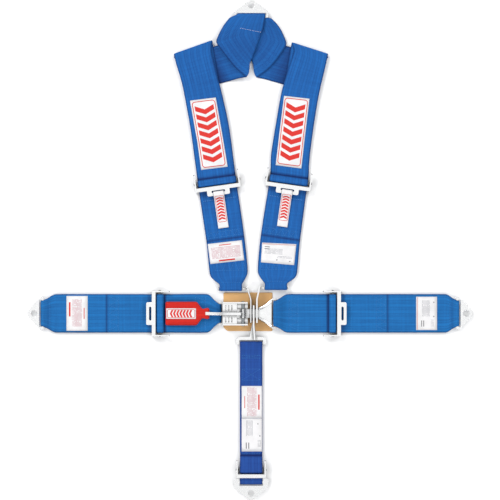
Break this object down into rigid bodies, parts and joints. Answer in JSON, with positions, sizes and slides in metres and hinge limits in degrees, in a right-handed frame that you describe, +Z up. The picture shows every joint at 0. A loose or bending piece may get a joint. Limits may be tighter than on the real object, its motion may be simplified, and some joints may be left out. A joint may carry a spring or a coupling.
{
  "type": "racing harness",
  "caption": "Racing harness with a latch-and-link buckle, blue webbing, tilt-lock adjusters, anchor plates and a red lever sleeve, lying flat.",
  "frame": {"origin": "centre of the bounding box in X and Y, on the surface that the harness lies on", "axes": "+Y towards the shoulder anchor plate, +X towards the tongue side of the lap belt, +Z up from the surface"},
  "size_m": [0.8802, 0.9886, 0.0272],
  "materials": {
    "blue_webbing": "ribbed polyester webbing",
    "red_sleeve": "woven red webbing",
    "woven_label": "white woven label cloth with red borders",
    "chrome_hardware": "bright plated steel",
    "zinc_steel": "zinc plated, satin",
    "tan_leather": "natural tan leather"
  },
  "bodies": {
    "buckle": {"latch_body": "chrome_hardware", "lever_pin": "zinc_steel", "buckle_pad": "tan_leather", "lap_webbing_left_inner": "blue_webbing", "lap_left_lock_bar": "zinc_steel", "shoulder_webbing_left_upper": "blue_webbing", "shoulder_webbing_right_upper": "blue_webbing", "shoulder_left_lock_bar": "zinc_steel", "shoulder_right_lock_bar": "zinc_steel", "shoulder_patch_left": "woven_label", "shoulder_patch_right": "woven_label", "crotch_link": "chrome_hardware", "crotch_webbing": "blue_webbing", "crotch_lock_bar": "zinc_steel", "crotch_label_upper": "woven_label", "crotch_label_lower": "woven_label"},
    "lever": {"latch_lever": "chrome_hardware", "lever_sleeve": "red_sleeve", "sleeve_label": "woven_label"},
    "tongue": {"tongue_plate": "chrome_hardware", "lap_webbing_right_inner": "blue_webbing", "lap_right_lock_bar": "zinc_steel"},
    "lap_left_adjuster": {"lap_left_adjuster_frame": "chrome_hardware"},
    "lap_left_belt": {"lap_webbing_left_outer": "blue_webbing", "lap_label_left": "woven_label"},
    "lap_right_adjuster": {"lap_right_adjuster_frame": "chrome_hardware"},
    "lap_right_belt": {"lap_webbing_right_outer": "blue_webbing", "lap_label_right": "woven_label"},
    "shoulder_left_adjuster": {"shoulder_left_adjuster_frame": "chrome_hardware", "release_ribbon_left": "woven_label"},
    "shoulder_left_belt": {"shoulder_webbing_left_lower": "blue_webbing", "shoulder_label_left": "woven_label", "shoulder_link_left": "chrome_hardware"},
    "shoulder_right_adjuster": {"shoulder_right_adjuster_frame": "chrome_hardware", "release_ribbon_right": "woven_label"},
    "shoulder_right_belt": {"shoulder_webbing_right_lower": "blue_webbing", "shoulder_label_right": "woven_label", "shoulder_link_right": "chrome_hardware"},
    "crotch_adjuster": {"crotch_adjuster_frame": "chrome_hardware"},
    "crotch_belt": {"crotch_loop_strap": "blue_webbing"},
    "lap_left_anchor": {"lap_anchor_left": "chrome_hardware"},
    "lap_right_anchor": {"lap_anchor_right": "chrome_hardware"},
    "top_anchor_plate": {"top_anchor": "chrome_hardware"},
    "crotch_anchor_plate": {"crotch_anchor": "chrome_hardware"}
  },
  "joints": [
    {"name": "lever_lift", "type": "hinge", "parent": "buckle", "child": "lever", "pos_m": [-0.014, -0.126, 0.0195], "axis": [0, 1, 0], "range_deg": [0, 95]},
    {"name": "tongue_release", "type": "slide", "parent": "buckle", "child": "tongue", "axis": [1, 0, 0], "range_m": [0, 0.06]},
    {"name": "lap_left_adjuster_tilt", "type": "hinge", "parent": "buckle", "child": "lap_left_adjuster", "pos_m": [-0.1785, -0.126, 0.0085], "axis": [0, 1, 0], "range_deg": [0, 28]},
    {"name": "lap_left_belt_follow", "type": "hinge", "parent": "lap_left_adjuster", "child": "lap_left_belt", "pos_m": [-0.1905, -0.126, 0.0055], "axis": [0, 1, 0], "range_deg": [-28, 0]},
    {"name": "lap_right_adjuster_tilt", "type": "hinge", "parent": "tongue", "child": "lap_right_adjuster", "pos_m": [0.1636, -0.126, 0.0085], "axis": [0, -1, 0], "range_deg": [0, 28]},
    {"name": "lap_right_belt_follow", "type": "hinge", "parent": "lap_right_adjuster", "child": "lap_right_belt", "pos_m": [0.1756, -0.126, 0.0055], "axis": [0, -1, 0], "range_deg": [-28, 0]},
    {"name": "shoulder_left_adjuster_tilt", "type": "hinge", "parent": "buckle", "child": "shoulder_left_adjuster", "pos_m": [-0.06547, 0.13428, 0.0085], "axis": [-0.9903, -0.1392, 0], "range_deg": [0, 28]},
    {"name": "shoulder_left_belt_follow", "type": "hinge", "parent": "shoulder_left_adjuster", "child": "shoulder_left_belt", "pos_m": [-0.0638, 0.1224, 0.0055], "axis": [-0.9903, -0.1392, 0], "range_deg": [-28, 0]},
    {"name": "shoulder_right_adjuster_tilt", "type": "hinge", "parent": "buckle", "child": "shoulder_right_adjuster", "pos_m": [0.07617, 0.13688, 0.0085], "axis": [-0.9903, 0.1392, 0], "range_deg": [0, 28]},
    {"name": "shoulder_right_belt_follow", "type": "hinge", "parent": "shoulder_right_adjuster", "child": "shoulder_right_belt", "pos_m": [0.0745, 0.125, 0.0055], "axis": [-0.9903, 0.1392, 0], "range_deg": [-28, 0]},
    {"name": "crotch_adjuster_tilt", "type": "hinge", "parent": "buckle", "child": "crotch_adjuster", "pos_m": [0.002, -0.4351, 0.0085], "axis": [-1, 0, 0], "range_deg": [0, 28]},
    {"name": "crotch_belt_follow", "type": "hinge", "parent": "crotch_adjuster", "child": "crotch_belt", "pos_m": [0.002, -0.4471, 0.0055], "axis": [-1, 0, 0], "range_deg": [-28, 0]},
    {"name": "lap_left_anchor_swivel", "type": "hinge", "parent": "lap_left_belt", "child": "lap_left_anchor", "pos_m": [-0.4105, -0.126, 0.0049], "axis": [0, 1, 0], "range_deg": [-15, 60]},
    {"name": "lap_right_anchor_swivel", "type": "hinge", "parent": "lap_right_belt", "child": "lap_right_anchor", "pos_m": [0.4095, -0.126, 0.0049], "axis": [0, -1, 0], "range_deg": [-15, 60]},
    {"name": "top_anchor_plate_swivel", "type": "hinge", "parent": "buckle", "child": "top_anchor_plate", "pos_m": [0.0023, 0.4613, 0.0068], "axis": [1, 0, 0], "range_deg": [-15, 25]},
    {"name": "crotch_anchor_plate_swivel", "type": "hinge", "parent": "crotch_belt", "child": "crotch_anchor_plate", "pos_m": [0.002, -0.4601, 0.0049], "axis": [-1, 0, 0], "range_deg": [-15, 60]}
  ],
  "couplings": [
    {"joint": "tongue_release", "follows": "lever_lift", "m_per_rad": 0.036},
    {"joint": "lap_left_belt_follow", "follows": "lap_left_adjuster_tilt", "ratio": -1},
    {"joint": "lap_right_belt_follow", "follows": "lap_right_adjuster_tilt", "ratio": -1},
    {"joint": "shoulder_left_belt_follow", "follows": "shoulder_left_adjuster_tilt", "ratio": -1},
    {"joint": "shoulder_right_belt_follow", "follows": "shoulder_right_adjuster_tilt", "ratio": -1},
    {"joint": "crotch_belt_follow", "follows": "crotch_adjuster_tilt", "ratio": -1}
  ]
}
